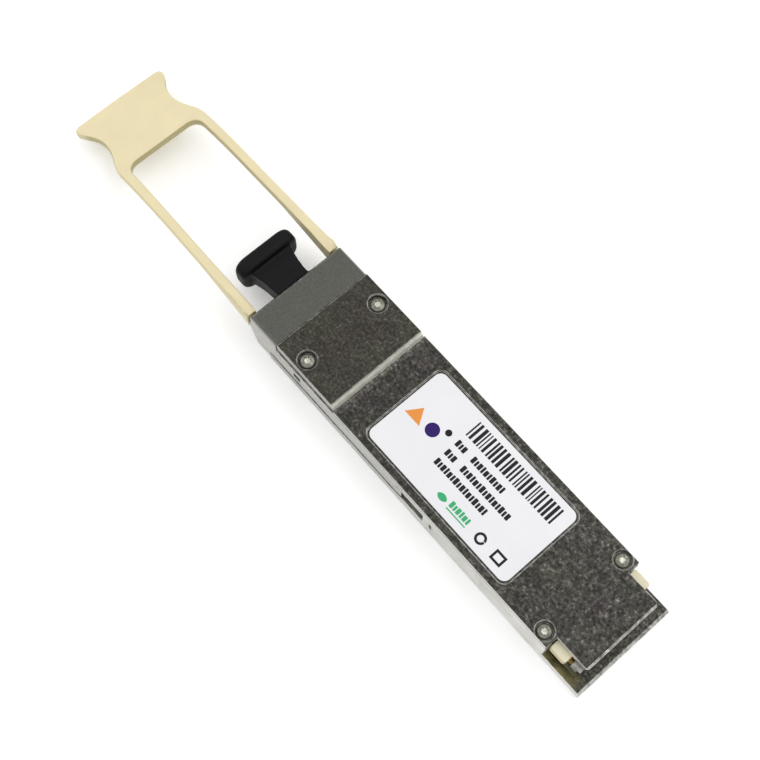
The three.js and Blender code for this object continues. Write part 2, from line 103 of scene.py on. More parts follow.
# ---------------------------------------------------------------- materials
class Material:
    """A node material round one Principled shader."""

    def __init__(self, name, metallic=0.0, roughness=0.5, **sockets):
        self.material = bpy.data.materials.new(name)
        self.material.use_nodes = True
        self.tree = self.material.node_tree
        self.shader = self.tree.nodes["Principled BSDF"]
        self.shader.inputs["Metallic"].default_value = metallic
        self.shader.inputs["Roughness"].default_value = roughness
        for socket, value in sockets.items():
            self.shader.inputs[socket.replace("_", " ")].default_value = value
        self.coordinates = self.node("ShaderNodeTexCoord").outputs["Object"]

    def node(self, kind, settings=None, **inputs):
        made = self.tree.nodes.new(kind)
        for key, value in (settings or {}).items():
            setattr(made, key, value)
        for key, value in inputs.items():
            self.feed(made.inputs[key.replace("_", " ")], value)
        return made

    def feed(self, socket, value):
        if isinstance(value, bpy.types.NodeSocket):
            self.tree.links.new(value, socket)
        else:
            socket.default_value = value

    def stretched(self, x, y, z):
        """Object coordinates with each axis scaled."""
        made = self.node("ShaderNodeMapping", Vector=self.coordinates)
        made.inputs["Scale"].default_value = (x, y, z)
        return made.outputs["Vector"]

    def noise(self, grain, detail=3.0, roughness=0.55, vector=None):
        """Noise whose features are about grain millimetres across."""
        made = self.node(
            "ShaderNodeTexNoise",
            Vector=vector or self.coordinates,
            Scale=1 / (grain * MM),
            Detail=detail,
            Roughness=roughness,
        )
        return made.outputs["Fac"]

    def ramp(self, value, *stops):
        """A value turned into a colour or a grey, by (place, colour or grey) stops."""
        made = self.node("ShaderNodeValToRGB", Fac=value)
        points = made.color_ramp.elements
        while len(points) < len(stops):
            points.new(1.0)
        for point, (place, colour) in zip(points, stops):
            point.position = place
            point.color = (*colour, 1) if isinstance(colour, tuple) else (colour, colour, colour, 1)
        return made.outputs["Color"]

    def mix(self, factor, a, b, blend="MIX"):
        made = self.node("ShaderNodeMix", {"data_type": "RGBA", "blend_type": blend})
        for socket, value in ((made.inputs[0], factor), (made.inputs[6], a), (made.inputs[7], b)):
            if isinstance(value, tuple):
                value = (*value, 1)
            self.feed(socket, value)
        return made.outputs[2]

    def maths(self, operation, a, b):
        made = self.node("ShaderNodeMath", {"operation": operation})
        self.feed(made.inputs[0], a)
        self.feed(made.inputs[1], b)
        return made.outputs[0]

    def span(self, value, start, end):
        """0 to 1 as a value goes from start to end."""
        made = self.node("ShaderNodeMapRange", Value=value)
        made.inputs["From Min"].default_value = start
        made.inputs["From Max"].default_value = end
        return made.outputs["Result"]

    def place(self, axis):
        return self.node("ShaderNodeSeparateXYZ", Vector=self.coordinates).outputs[axis]

    def flank(self):
        """Tone of the castings' sides: light satin nickel, its lightness a painted reflection of the pale
        floor, darker towards the fibre port.
        """
        tone = self.ramp(self.noise(4.0, detail=4), (0.3, (0.56, 0.555, 0.515)),
                         (0.55, (0.68, 0.675, 0.635)), (0.75, (0.76, 0.755, 0.72)))
        along = self.span(self.place("X"), row(5, 0, 0).x, row(55, 0, 0).x)
        return self.mix(1.0, tone, self.ramp(along, (0.0, 0.62), (1.0, 1.0)), "MULTIPLY")

    def facing_up(self, low, high):
        """0 on faces that stand upright, 1 on faces that look up."""
        normal = self.node("ShaderNodeNewGeometry").outputs["Normal"]
        parts = self.node("ShaderNodeSeparateXYZ", Vector=normal)
        made = self.node("ShaderNodeMapRange", {"interpolation_type": "SMOOTHSTEP"})
        self.feed(made.inputs["Value"], parts.outputs["Z"])
        made.inputs["From Min"].default_value = low
        made.inputs["From Max"].default_value = high
        return made.outputs["Result"]

    def colour(self, value):
        self.feed(self.shader.inputs["Base Color"], value)
        return self

    def rough(self, value, low, high):
        made = self.node("ShaderNodeMapRange")
        self.feed(made.inputs["Value"], value)
        made.inputs["From Min"].default_value = 0.25
        made.inputs["From Max"].default_value = 0.75
        made.inputs["To Min"].default_value = low
        made.inputs["To Max"].default_value = high
        self.feed(self.shader.inputs["Roughness"], made.outputs["Result"])
        return self

    def bump(self, height, depth, strength=1.0):
        """Relief of about depth millimetres."""
        made = self.node("ShaderNodeBump", Height=height, Strength=strength, Distance=depth * MM)
        self.feed(self.shader.inputs["Normal"], made.outputs["Normal"])
        return self


def cast_cover():
    """Grained dark nickel on the faces that look up, calmer on the raised front, brighter just behind its
    ridge and lighter on the sides; the dark tops and light sides are a painted reflection. An olive tone
    along the left edge of the rear floor plate is lifted to show through the shade there, in part painted
    light."""
    m = Material("cast_nickel_dark", metallic=0.85, roughness=0.42)
    grain = m.noise(0.46, detail=3, roughness=0.68)
    rough_tone = m.ramp(grain, (0.3, (0.017, 0.0165, 0.015)), (0.5, (0.05, 0.049, 0.043)),
                        (0.62, (0.09, 0.088, 0.078)), (0.76, (0.24, 0.237, 0.21)))
    calm_tone = m.ramp(grain, (0.3, (0.03, 0.0285, 0.023)), (0.52, (0.057, 0.055, 0.0445)),
                       (0.64, (0.09, 0.088, 0.072)), (0.76, (0.18, 0.177, 0.15)))
    behind_ridge = m.span(m.place("X"), row(COVER_RIDGE, 0, 0).x, row(COVER_RIDGE + 1, 0, 0).x)
    # Lighter just behind the ridge.
    lifted_past_ridge = m.ramp(m.span(m.place("X"), row(COVER_RIDGE + 0.7, 0, 0).x, row(COVER_RIDGE + 1.7, 0, 0).x),
                  (0.0, 2.3), (0.4, 1.8), (1.0, 1.0))
    dark = m.mix(behind_ridge, calm_tone, m.mix(1.0, rough_tone, lifted_past_ridge, "MULTIPLY"))
    uneven = m.ramp(m.noise(1.6, detail=3, roughness=0.6), (0.32, 0.8), (0.5, 1.0), (0.68, 1.28))
    tint = m.ramp(m.noise(7.0, detail=4), (0.34, (0.94, 0.87, 0.94)), (0.5, (1.0, 0.99, 0.96)),
                  (0.66, (1.06, 1.08, 1.0)))
    top = m.mix(1.0, m.mix(1.0, dark, uneven, "MULTIPLY"), tint, "MULTIPLY")
    # Olive tone along the left edge of the rear floor plate, lifted to show through the shade there: in part
    # painted light.
    painted_olive_lift = m.ramp(m.noise(1.4, detail=4, roughness=0.6),
                   (0.3, (0.09, 0.08, 0.032)), (0.7, (0.27, 0.24, 0.11)))
    on_plate = m.span(m.place("Z"), (APRON_TOP + 0.4) * MM, (APRON_TOP + 0.2) * MM)
    at_left = m.span(m.place("Y"), -6.8 * MM, -7.8 * MM)
    before_corner = m.span(m.place("X"), row(66.2, 0, 0).x, row(63.8, 0, 0).x)
    painted_olive_mask = m.maths("MULTIPLY", m.maths("MULTIPLY", on_plate, at_left), before_corner)
    # Faces that look up take the dark top and upright faces the light flank: a painted reflection.
    m.colour(m.mix(m.facing_up(0.55, 0.85), m.flank(), m.mix(painted_olive_mask, top, painted_olive_lift)))
    m.rough(grain, 0.5, 0.3)
    return m.bump(grain, 0.03, 0.6).material


def edge_nickel(name, shine):
    """Rubbed edge of the plated castings, brightened as a painted highlight: shine is how bright it is, to
    1.
    """
    m = Material(name, metallic=0.9, roughness=0.3)
    wear = m.noise(0.8, detail=4)
    stops = ((0.3, 0.2), (0.5, 0.45), (0.68, 0.75))
    m.colour(m.ramp(wear, *((at, (shine * g, 0.985 * shine * g, 0.9 * shine * g)) for at, g in stops)))
    m.rough(wear, 0.45, 0.22)
    return m.bump(m.noise(0.3), 0.008).material


def ridge_nickel():
    """Polished ridge across the cover, with a painted highlight brightest near its front."""
    m = Material("nickel_ridge", metallic=0.3, roughness=0.42)
    wear = m.ramp(m.noise(1.2, detail=5), (0.3, (0.78, 0.765, 0.66)), (0.6, (1.0, 0.98, 0.86)))
    down = m.span(m.place("X"), row(COVER_RIDGE, 0, 0).x, row(COVER_RIDGE + 0.7, 0, 0).x)
    # Painted highlight across the ridge: brightest near its front, fading behind.
    painted_highlight = m.ramp(down, (0.0, 0.42), (0.22, 0.88), (0.4, 0.76), (0.65, 0.52), (1.0, 0.42))
    m.colour(m.mix(1.0, wear, painted_highlight, "MULTIPLY"))
    return m.bump(m.noise(0.3), 0.008).material


def shell_nickel():
    """Satin nickel: mid grey where it looks up and light on the sides, a painted reflection, with faint
    lengthwise scratches.
    """
    m = Material("satin_nickel", metallic=0.85, roughness=0.36)
    satin = m.noise(0.35, detail=5, roughness=0.7)
    scratches = m.noise(0.12, detail=2, vector=m.stretched(0.02, 1, 1))
    top = m.ramp(satin, (0.3, (0.09, 0.09, 0.08)), (0.7, (0.135, 0.135, 0.12)))
    marked = m.mix(m.ramp(scratches, (0.68, 0.0), (0.78, 0.3)), m.flank(), (0.3, 0.295, 0.265))
    # Faces that look up take the darker grey, upright faces the light flank: a painted reflection.
    m.colour(m.mix(m.facing_up(0.05, 0.97), marked, top))
    m.rough(satin, 0.44, 0.3)
    return m.bump(satin, 0.008, 0.5).material


def screw_steel(name, shine):
    """Plated screw steel: shine is how bright it is, to 1."""
    m = Material(name, metallic=0.95, roughness=0.25)
    turned = m.noise(0.5, detail=4)
    m.colour(m.ramp(turned, (0.3, (0.5 * shine, 0.495 * shine, 0.41 * shine)),
                    (0.7, (shine, 0.985 * shine, 0.84 * shine))))
    m.rough(turned, 0.4, 0.24)
    return m.bump(m.noise(0.15), 0.01, 0.5).material


def spring_steel():
    m = Material("spring_steel", metallic=0.95, roughness=0.3)
    rolled = m.noise(0.25, detail=4, vector=m.stretched(0.06, 1, 1))
    m.colour(m.ramp(rolled, (0.3, (0.38, 0.375, 0.35)), (0.7, (0.52, 0.515, 0.485))))
    m.rough(rolled, 0.42, 0.3)
    return m.bump(rolled, 0.004, 0.5).material


def ivory_plastic(name, pale, painted_shade, roughness=0.42, inside=None):
    """Moulded plastic with a faint grain; its upright faces are a deeper tone, a painted shade, most of all
    within inside millimetres of the centre plane."""
    m = Material(name, roughness=roughness, Subsurface_Weight=0.06, Subsurface_Scale=0.0015)
    m.shader.inputs["Subsurface Radius"].default_value = (1.0, 0.8, 0.4)
    clouds = m.noise(6.0, detail=4)
    specks = m.noise(0.25, detail=3)
    flow = m.ramp(clouds, (0.35, tuple(0.94 * c for c in pale)), (0.65, pale))
    face = m.mix(m.ramp(specks, (0.58, 0.0), (0.75, 0.3)), flow, tuple(0.82 * c for c in pale))
    # Upright faces take the painted shade, darkest on the walls that face in towards the centre plane.
    wall = painted_shade
    if inside:
        from_centre = m.maths("ABSOLUTE", m.place("Y"), 0.0)
        outside = m.span(from_centre, (inside - 0.3) * MM, (inside + 0.3) * MM)
        lighter = tuple(0.45 * c + 0.55 * d for c, d in zip(pale, painted_shade))
        wall = m.mix(outside, painted_shade, lighter)
    m.colour(m.mix(m.facing_up(0.35, 0.9), wall, face))
    m.rough(clouds, roughness - 0.06, roughness + 0.08)
    return m.bump(m.noise(0.18, detail=4), 0.01, 0.5).material


def black_elastomer():
    m = Material("black_elastomer", roughness=0.6, Specular_IOR_Level=0.17)
    dust = m.noise(0.3, detail=5, roughness=0.7)
    m.colour(m.ramp(dust, (0.35, (0.0028, 0.0028, 0.0036)), (0.62, (0.0052, 0.0048, 0.0062)),
                    (0.78, (0.02, 0.018, 0.022))))
    m.rough(m.noise(2.5, detail=4), 0.42, 0.62)
    return m.bump(dust, 0.015, 0.6).material


def label_film():
    m = Material("label_film", roughness=0.38, Coat_Weight=0.25, Coat_Roughness=0.25)
    fibre = m.noise(0.3, detail=5)
    m.colour(m.ramp(m.noise(8.0, detail=3), (0.3, (0.8, 0.8, 0.83)), (0.7, (0.84, 0.84, 0.865))))
    m.rough(fibre, 0.34, 0.46)
    return m.bump(fibre, 0.004, 0.4).material


def ink(name, colour):
    m = Material(name, roughness=0.45, Specular_IOR_Level=0.2)
    patchy = m.noise(0.2, detail=4)
    faded = tuple(c + 0.12 * (0.8 - c) for c in colour)
    m.colour(m.ramp(patchy, (0.62, colour), (0.85, faded)))
    m.rough(patchy, 0.34, 0.5)
    return m.bump(patchy, 0.003, 0.4).material


def plain_moulding(name, colour, roughness=0.5, grain=0.3, metallic=0.0):
    """Small moulded, fired or plated parts: slight mottling and a fine grain."""
    m = Material(name, metallic=metallic, roughness=roughness)
    mottle = m.noise(grain, detail=4)
    darker = tuple(0.8 * c for c in colour)
    lighter = tuple(min(1, 1.15 * c) for c in colour)
    m.colour(m.ramp(mottle, (0.3, darker), (0.7, lighter)))
    m.rough(mottle, roughness + 0.07, roughness - 0.07)
    return m.bump(mottle, 0.006, 0.5).material


def board_laminate():
    """Solder mask over copper tracks, which stand slightly proud of the laminate."""
    m = Material("board_laminate", roughness=0.32)
    tracks = m.node("ShaderNodeTexWave", {"bands_direction": "Y"}, Vector=m.stretched(0.08, 1, 1),
                    Scale=420.0, Distortion=5.0, Detail=1.0)
    copper = m.ramp(tracks.outputs["Fac"], (0.62, 0.0), (0.7, 1.0))
    m.colour(m.mix(copper, (0.05, 0.052, 0.016), (0.085, 0.082, 0.03)))
    m.rough(m.noise(0.4), 0.26, 0.42)
    return m.bump(copper, 0.02).material


# ---------------------------------------------------------------- shape tools
def bezier(p0, p1, p2, p3, steps):
    """Points after p0 along a cubic curve."""
    made = []
    for i in range(1, steps + 1):
        t = i / steps
        u = 1 - t
        made.append(tuple(u**3 * a + 3 * u * u * t * b + 3 * u * t * t * c + t**3 * d
                          for a, b, c, d in zip(p0, p1, p2, p3)))
    return made


def arc(cx, cy, radius, start, end, steps):
    """Points on an arc, angles in degrees, both ends included."""
    turns = [math.radians(start + (end - start) * i / steps) for i in range(steps + 1)]
    return [(cx + radius * math.cos(turn), cy + radius * math.sin(turn)) for turn in turns]


def rounded_rect(u0, u1, v0, v1, radius, steps=6):
    corners = ((u1 - radius, v0 + radius, -90), (u1 - radius, v1 - radius, 0),
               (u0 + radius, v1 - radius, 90), (u0 + radius, v0 + radius, 180))
    return [p for cu, cv, start in corners for p in arc(cu, cv, radius, start, start + 90, steps)]


def add_prism(bm, outline, low, high, place=lambda u, v, w: (u, v, w)):
    """A closed prism: an anticlockwise outline in (u, v) run from low to high along w."""
    rings = [[bm.verts.new(place(u, v, w)) for u, v in outline] for w in (low, high)]
    bm.faces.new(rings[0][::-1])
    bm.faces.new(rings[1])
    count = len(outline)
    for i in range(count):
        j = (i + 1) % count
        bm.faces.new((rings[0][i], rings[0][j], rings[1][j], rings[1][i]))


def across(u, v, w):
    """Places an outline in (Y, Z) and runs it along X."""
    return (w, u, v)


def sharp_edges(bm, degrees):
    limit = math.radians(degrees)
    return [e for e in bm.edges if len(e.link_faces) == 2 and e.calc_face_angle(0) > limit]


def round_edges(bm, edges, radius, segments, material=-1):
    bmesh.ops.bevel(bm, geom=edges, offset=radius, segments=segments, profile=0.5, affect="EDGES",
                    clamp_overlap=False, loop_slide=True, material=material)


def piece(name, bm, materials, body, replaces=(), smooth_angle=35, weighted=True):
    """A finished piece from a mesh in millimetres."""
    bmesh.ops.recalc_face_normals(bm, faces=bm.faces)
    mesh = bpy.data.meshes.new(name)
    bm.to_mesh(mesh)
    bm.free()
    mesh.transform(TO_ROW)
    for material in materials:
        mesh.materials.append(material)
    mesh.shade_smooth()
    mesh.set_sharp_from_angle(angle=math.radians(smooth_angle))
    made = bpy.data.objects.new(name, mesh)
    bpy.context.scene.collection.objects.link(made)
    if weighted:
        modifier = made.modifiers.new("weighted_normals", "WEIGHTED_NORMAL")
        modifier.keep_sharp = True
    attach(made, body)
    if replaces:
        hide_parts(*replaces)
    return made


def softened(node, radius, materials, segments=2, sharp=28, body="module", paint=None, split=()):
    """The CAD node's own shape with its edges rounded. paint gives each face's material from its centre, its
    normal and whether it is a rounding. split holds places along X where long faces are divided for it."""
    bm = bmesh.new()
    bm.from_mesh(NODES[node].data)
    bm.transform(FROM_ROW)
    bmesh.ops.remove_doubles(bm, verts=bm.verts, dist=1e-3)
    bmesh.ops.dissolve_limit(bm, angle_limit=math.radians(1), verts=bm.verts, edges=bm.edges)
    for x in split:
        whole = bm.verts[:] + bm.edges[:] + bm.faces[:]
        bmesh.ops.bisect_plane(bm, geom=whole, plane_co=(x, 0, 0), plane_no=(1, 0, 0), dist=1e-4)
    for face in bm.faces:
        face.material_index = 0
    round_edges(bm, sharp_edges(bm, sharp), radius, segments, 1 if paint else 0)
    bm.normal_update()
    if paint:
        for face in bm.faces:
            face.material_index = paint(face.calc_center_median(), face.normal, face.material_index == 1)
    return piece(node + "_cast", bm, materials, body, (node,))


# ---------------------------------------------------------------- pull tab
def tab_outline():
    """Anticlockwise from above: the right arm's outside, the flared tip, the left arm's outside, then the
    window from the left arm round to the right."""
    side = [(TAB_BODY, 9.12), (-28.0, 8.8), (-40.6, 8.74)]
    side += bezier(side[-1], (-43.0, 8.6), (-44.2, 7.0), (-47.2, 6.9), 9)
    side += bezier(side[-1], (-49.6, 6.85), (-51.0, 8.4), (-52.2, 8.85), 8)
    side += bezier(side[-1], (-53.0, 9.12), (-53.6, 8.8), TAB_CORNER, 5)
    corner, half = TAB_CORNER
    crown = corner + 4 / 3 * (TAB_END - corner)  # brings the middle of the tip's curve to TAB_END
    tip = bezier(TAB_CORNER, (crown, half / 3), (crown, -half / 3), (corner, -half), 16)
    outer = side + tip + [(x, -y) for x, y in reversed(side[:-1])]
    radius = 1.8
    window = arc(TAB_WINDOW + radius, -7.1 + radius, radius, 270, 180, 7)
    inner = [(TAB_BODY, -7.4), (-20.0, -7.3), *window]
    return outer + inner + [(x, -y) for x, y in reversed(inner)]


def curve_height(x, stops):
    """A height along X, in straight lines between stops that run towards -X."""
    for (x0, z0), (x1, z1) in zip(stops, stops[1:]):
        if x1 <= x <= x0:
            return z0 + (z1 - z0) * (x - x0) / (x1 - x0)
    return stops[0][1] if x > stops[0][0] else stops[-1][1]


TAB_UPPER = ([(TAB_BODY, 7.9), (-7.7, 8.15), (-30.0, 8.15)]
             + bezier((-30.0, 8.15), (-37.0, 8.1), (-41.0, 6.9), (-47.3, 5.3), 14) + [(-54.0, 3.9)])
TAB_LOWER = ([(TAB_BODY, 4.2), (-12.0, 5.1), (-19.0, 6.35), (-30.0, 6.35)]
             + bezier((-30.0, 6.35), (-37.0, 6.3), (-41.0, 5.1), (-47.3, 3.5), 14) + [(-54.0, 2.2)])


def pull_tab(material):
    """The flat outline, cut across wherever the tab bends and then bent between its two heights."""
    bm = bmesh.new()
    add_prism(bm, tab_outline(), -1, 1)
    clear_of_window = 0.65
    arm_cuts = [-8.3, -12.0, -15.5, -19.0, -24.0]
    plate_cuts = [-30.0 - 1.1 * i for i in range(21)]
    for x in arm_cuts + plate_cuts:
        if abs(x - TAB_WINDOW) < clear_of_window:
            continue
        whole = bm.verts[:] + bm.edges[:] + bm.faces[:]
        bmesh.ops.bisect_plane(bm, geom=whole, plane_co=(x, 0, 0), plane_no=(1, 0, 0), dist=1e-4)
    bmesh.ops.recalc_face_normals(bm, faces=bm.faces)
    edges = [e for e in sharp_edges(bm, 60) if min(v.co.x for v in e.verts) < TAB_BODY - 0.01]
    for v in bm.verts:
        v.co.z = curve_height(v.co.x, TAB_UPPER if v.co.z > 0 else TAB_LOWER)
    round_edges(bm, edges, 0.42, 4)
    piece("pull_tab_moulding", bm, [material], "latch", ("pull_tab",), 50)


# ---------------------------------------------------------------- dust plug
def dust_plug(material):
    """T-shaped elastomer plug: remeshed in one skin so that the grip, neck and flange blend."""
    bm = bmesh.new()
    add_prism(bm, rounded_rect(-4.5, 4.5, 3.4, 7.0, 0.6), -7.0, 1.9, across)
    flange = [(-6.75, 5.2), *bezier((-6.75, 5.2), (-7.0, 4.8), (-7.25, 4.1), (-7.3, 3.4), 4)]
    flange += [(x, -y) for x, y in reversed(flange)]
    add_prism(bm, flange, 2.8, 7.6)
    neck = [(-6.9, 3.1), (-8.4, 3.1)]
    neck += [*bezier(neck[-1], (-10.0, 3.2), (-10.8, 3.35), (-12.1, 3.7), 6), (-13.9, 4.2)]
    neck += [(x, -y) for x, y in reversed(neck)]
    add_prism(bm, neck, 3.25, 7.15)
    bmesh.ops.recalc_face_normals(bm, faces=bm.faces)
    grip = bmesh.new()
    add_prism(grip, rounded_rect(-5.45, 5.45, 1.97, 8.43, 2.2), -15.5, -12.85, across)
    bmesh.ops.recalc_face_normals(grip, faces=grip.faces)
    round_edges(grip, sharp_edges(grip, 60), 0.7, 5)
    joined = bpy.data.meshes.new("grip")
    grip.to_mesh(joined)
    grip.free()
    bm.from_mesh(joined)
    skin = remeshed(bm, 0.15)
    for _ in range(7):
        bmesh.ops.smooth_vert(skin, verts=skin.verts, factor=0.5,
                              use_axis_x=True, use_axis_y=True, use_axis_z=True)
    piece("dust_plug_moulding", skin, [material], "plug", ("dust_plug",), 80,
          weighted=False)


def remeshed(bm, voxel):
    """One closed skin round overlapping closed shapes."""
    mesh = bpy.data.meshes.new("raw")
    bm.to_mesh(mesh)
    bm.free()
    carrier = bpy.data.objects.new("raw", mesh)
    bpy.context.scene.collection.objects.link(carrier)
    modifier = carrier.modifiers.new("skin", "REMESH")
    modifier.mode = "VOXEL"
    modifier.voxel_size = voxel
    evaluated = carrier.evaluated_get(bpy.context.evaluated_depsgraph_get())
    skin = bmesh.new()
    skin.from_mesh(evaluated.to_mesh())
    bpy.data.objects.remove(carrier)
    return skin


# ---------------------------------------------------------------- screws
def cover_screw(name, x, y, seat, head, tip, materials):
    """A domed head with a six-lobed recess, whose floor is painted bright as a glint."""
    base = seat + 0.06
    shank = 0.6
    recess = 0.38 * head
    segments = 48
    profile = [(shank, tip, 0), (shank, base, 0), (head - 0.05, base, 0), (head, base + 0.05, 0),
               (0.97 * head, base + 0.15, 0), (0.86 * head, base + 0.29, 0), (0.7 * head, base + 0.39, 0),
               (0.52 * head, base + 0.455, 0), (0.44 * head, base + 0.475, 0.1),
               (0.4 * head, base + 0.44, 0.14), (0.37 * head, base + 0.12, 0.14),
               (0.16 * head, base + 0.08, 0)]
    bm = bmesh.new()
    rings = []
    for radius, z, lobes in profile:
        ring = []
        for i in range(segments):
            angle = 2 * math.pi * i / segments
            reach = radius * (1 + lobes * math.cos(6 * angle))
            ring.append(bm.verts.new((x + reach * math.cos(angle), y + reach * math.sin(angle), z)))
        rings.append(ring)
    for low, high in zip(rings, rings[1:]):
        for i in range(segments):
            j = (i + 1) % segments
            bm.faces.new((low[i], low[j], high[j], high[i]))
    bm.faces.new(rings[0][::-1])
    bm.faces.new(rings[-1])
    # Faces in the recess take the bright steel: a painted glint.
    for face in bm.faces:
        middle = face.calc_center_median()
        in_recess = math.hypot(middle.x - x, middle.y - y) < recess and middle.z > base
        face.material_index = 1 if in_recess else 0
    piece(name + "_torx", bm, materials, "module", (name,), 50, weighted=False)


# ---------------------------------------------------------------- label
PRINT_LEFT = 28.6


def label_plate(material):
    bm = bmesh.new()
    outline = rounded_rect(LABEL["x0"], LABEL["x1"], LABEL["y0"], LABEL["y1"], LABEL["radius"], 12)
    add_prism(bm, outline, LABEL["low"], LABEL["high"])
    bmesh.ops.recalc_face_normals(bm, faces=bm.faces)
    round_edges(bm, sharp_edges(bm, 60), 0.04, 2)
    piece("label_film", bm, [material], "module", ("label",))


def printed(name, outlines, material):
    """Marks printed on the label: thin raised outlines."""
    bm = bmesh.new()
    for outline in outlines:
        add_prism(bm, outline, LABEL["high"] - 0.01, LABEL["high"] + 0.012)
    piece(name, bm, [material], "module", weighted=False)


def bar(x0, x1, y0, y1):
    return [(x0, y0), (x1, y0), (x1, y1), (x0, y1)]


def ring(cx, cy, outer, inner, start, end):
    """A thick arc as one outline."""
    return arc(cx, cy, outer, start, end, 24) + arc(cx, cy, inner, end, start, 24)


def stripes():
    """Upright stripes of a few widths, in an order that encodes nothing."""
    made = []
    x = PRINT_LEFT
    step = 0
    while x < 46.5:
        width = (0.26, 0.46, 0.2, 0.34, 0.56)[(step * step + step // 3) % 5]
        made.append(bar(x, x + width, 3.3, 6.3))
        x += width + (0.3, 0.22, 0.42)[(2 * step + step // 4) % 3]
        step += 1
    return made


def dashes(x0, x1, y, height):
    """A row of blocks where a line of small print would be."""
    made = []
    x = x0
    step = 0
    while x < x1:
        width = (0.5, 0.62, 0.4, 0.55)[(step * step + 1) % 4]
        low = y - height / 2
        high = y + height / 2 - (0.0, 0.16, 0.08)[step % 3]
        made.append(rounded_rect(x, x + width, low, high, 0.1, 2))
        x += width + 0.17
        step += 1
    return made


def label_print():
    """Generic marks in the places and colours of a module's label."""
    black = stripes()
    left = PRINT_LEFT
    for x0, x1, y in ((left, 30.6, 1.6), (32.0, 38.6, 1.6), (left, 30.6, -0.5), (32.0, 41.6, -0.5),
                      (left, 39.2, -2.55)):
        black += dashes(x0, x1, y, 1.15)
    dot = arc(26.8, 1.6, 0.55, 0, 345, 15)
    square = [bar(44.3, 46.4, -6.5, -6.12), bar(44.3, 46.4, -5.1, -4.72), bar(44.3, 44.68, -6.12, -5.1),
              bar(46.02, 46.4, -6.12, -5.1)]
    black += [dot, ring(41.6, -5.6, 0.95, 0.55, 4, 356), *square]
    printed("label_print_black", black, ink("ink_black", (0.009, 0.009, 0.01)))
    triangle = [(19.9, -1.0), (23.1, -1.0), (21.5, 1.5)]
    printed("label_print_orange", [triangle], ink("ink_orange", (0.8, 0.3, 0.06)))
    disc = arc(24.85, 0.1, 1.15, 0, 350, 35)
    printed("label_print_indigo", [disc], ink("ink_indigo", (0.025, 0.006, 0.13)))
    leaf = arc(33.4, -5.1, 1.1, 210, 330, 10) + arc(33.4, -6.2, 1.1, 30, 150, 10)
    green = [leaf, *dashes(34.9, 38.6, -5.3, 1.1), bar(34.9, 38.9, -6.35, -6.15)]
    printed("label_print_green", green, ink("ink_green", (0.05, 0.42, 0.17)))


# ---------------------------------------------------------------- springs
def return_spring(word, side, material):
    """A coil between the shell's end wall, where it is still, and the slider's ear, which pulls it short."""
    x0, x1, y, z = SPRING["fixed"], SPRING["moving"], side * SPRING["y"], SPRING["z"]
    radius, wire, turns = SPRING["radius"], SPRING["wire"], SPRING["turns"]
    sides = 8
    steps = turns * 24
    bm = bmesh.new()
    rings = []
    for i in range(steps + 1):
        angle = 2 * math.pi * turns * i / steps
        centre = Vector((x0 + wire + (x1 - x0 - 2 * wire) * i / steps,
                         y + radius * math.cos(angle), z + radius * math.sin(angle)))
        outward = Vector((0, math.cos(angle), math.sin(angle)))
        rings.append([bm.verts.new(centre + wire * (math.cos(t) * outward + math.sin(t) * Vector((1, 0, 0))))
                      for t in (2 * math.pi * k / sides for k in range(sides))])
    for low, high in zip(rings, rings[1:]):
        for i in range(sides):
            j = (i + 1) % sides
            bm.faces.new((low[i], low[j], high[j], high[i]))
    bm.faces.new(rings[0][::-1])
    bm.faces.new(rings[-1])
    bmesh.ops.recalc_face_normals(bm, faces=bm.faces)
    mesh = bpy.data.meshes.new("return_spring_coil_" + word)
    bm.to_mesh(mesh)
    bm.free()
    mesh.transform(TO_ROW)
    mesh.materials.append(material)
    mesh.shade_smooth()
    made = bpy.data.objects.new("return_spring_coil_" + word, mesh)
    bpy.context.scene.collection.objects.link(made)
    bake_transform(made)
    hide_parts("return_spring_" + word)


# ---------------------------------------------------------------- the module
# Face finishes: the edge, ridge and bore finishes are painted highlights and painted light.
GRAINED, BRIGHT_EDGE, DULL_EDGE, RIDGE, SATIN, RING = range(6)


def near_screw(centre, normal):
    """Whether a face is the rim, wall or seat of a screw's counterbore."""
    for spec in (FRONT_SCREW, REAR_SCREW):
        if math.hypot(centre.x - spec["x"], abs(centre.y) - spec["y"]) < spec["bore"] + 0.35:
            return normal.z < 0.9 or centre.z < spec["seat"] + 0.1
    return False


def cover_face(centre, normal, rounding):
    """Bright round the tongue and the label, mid grey in the rear counterbores, duller in the front ones and
    on the other edges, and a lit ridge behind the raised front, all painted light; grained elsewhere."""
    on_ridge = COVER_RIDGE - 0.2 < centre.x < COVER_RIDGE + 0.7
    # The ridge's slope takes a painted highlight.
    if on_ridge and 0.2 < normal.z < 0.9 and normal.x > 0.3:
        return RIDGE
    # Counterbore walls and seats are lightened against the shade in the bore: painted light.
    if near_screw(centre, normal):
        return RING if centre.x > COVER_RIDGE else DULL_EDGE
    # Roundings and the front chamfer take painted highlights, brightest at the rear and round the label.
    if rounding or (normal.x < -0.3 and centre.x < 0.5):
        round_label = LABEL["x0"] - 1 < centre.x < LABEL["x1"] + 1 and abs(centre.y) < MAIN_TOP
        return BRIGHT_EDGE if centre.x > WALL_REAR or round_label else DULL_EDGE
    # Faces that lean to the rear take a painted highlight.
    return BRIGHT_EDGE if normal.x > 0.3 and normal.z > 0.3 else GRAINED


def shell_face(centre, normal, rounding):
    """Satin nickel with dull edges and wall tops, both lighter as painted highlights. The rear floor plate
    is grained, with bright edges that are painted highlights.
    """
    at_rear = centre.x > WALL_REAR - 0.1
    # Roundings and the rear floor plate's slopes take painted highlights, brightest on the plate.
    if rounding or (at_rear and 0.3 < normal.z < 0.9):
        return BRIGHT_EDGE if at_rear and centre.z < APRON_TOP + 0.1 else DULL_EDGE
    # Wall tops take the dull edge finish, lighter than the grained tone: painted light.
    if normal.z > 0.7 and centre.x > 0.2:
        return GRAINED if at_rear else DULL_EDGE
    return SATIN


